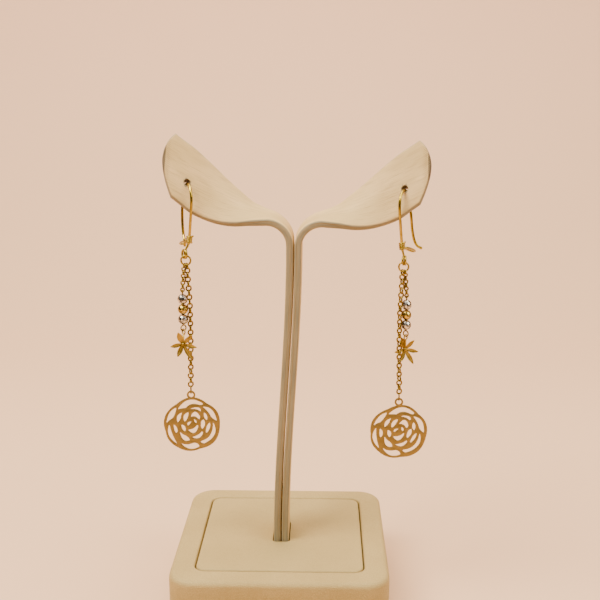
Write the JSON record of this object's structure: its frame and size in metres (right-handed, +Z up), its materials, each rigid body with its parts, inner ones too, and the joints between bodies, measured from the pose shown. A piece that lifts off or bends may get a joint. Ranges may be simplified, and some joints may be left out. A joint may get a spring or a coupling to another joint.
{
  "type": "dangle earrings on a display stand",
  "caption": "Ear wires with a pierced rose on a long chain and a bead string with a flower charm, as a pair hung on a stand with two upswept arms on a square base.",
  "frame": {"origin": "centre of the underside of the stand's base, in millimetres in the source and metres here", "axes": "+Z up, +X to the viewer's right along the two arms, +Y away from the viewer, who sees the roses face on"},
  "size_m": [0.0743, 0.06, 0.1341],
  "materials": {
    "stand_cover": "cream leatherette, matt",
    "arm_cover": "cream leatherette with a fine slanting grain",
    "hook_gold": "polished gold",
    "chain_gold": "polished gold",
    "bead_silver": "diamond cut white metal",
    "bead_gold": "diamond cut gold",
    "charm_gold": "satin gold",
    "rose_gold": "flat, softly polished gold"
  },
  "bodies": {
    "stand_and_earrings": {"base_block": "stand_cover", "base_panel": "stand_cover", "arm_left": "arm_cover", "arm_right": "arm_cover", "ear_wire_left": "hook_gold", "jump_ring_left": "hook_gold", "long_chain_left": "chain_gold", "bead_chain_left": "chain_gold", "bead_top_left": "bead_silver", "bead_middle_left": "bead_gold", "bead_bottom_left": "bead_silver", "bead_pin_left": "chain_gold", "flower_charm_left": "charm_gold", "ear_wire_right": "hook_gold", "jump_ring_right": "hook_gold", "long_chain_right": "chain_gold", "bead_chain_right": "chain_gold", "bead_top_right": "bead_silver", "bead_middle_right": "bead_gold", "bead_bottom_right": "bead_silver", "bead_pin_right": "chain_gold", "flower_charm_right": "charm_gold"},
    "rose_left": {"rose_pendant_left": "rose_gold"},
    "rose_right": {"rose_pendant_right": "rose_gold"}
  },
  "joints": [
    {"name": "rose_swing_left", "type": "hinge", "parent": "stand_and_earrings", "child": "rose_left", "pos_m": [-0.02534, -0.00512, 0.06243], "axis": [0, 1, 0], "range_deg": [-70, 70]},
    {"name": "rose_swing_right", "type": "hinge", "parent": "stand_and_earrings", "child": "rose_right", "pos_m": [0.0329, -0.00538, 0.06087], "axis": [0, 1, 0], "range_deg": [-70, 70]}
  ]
}
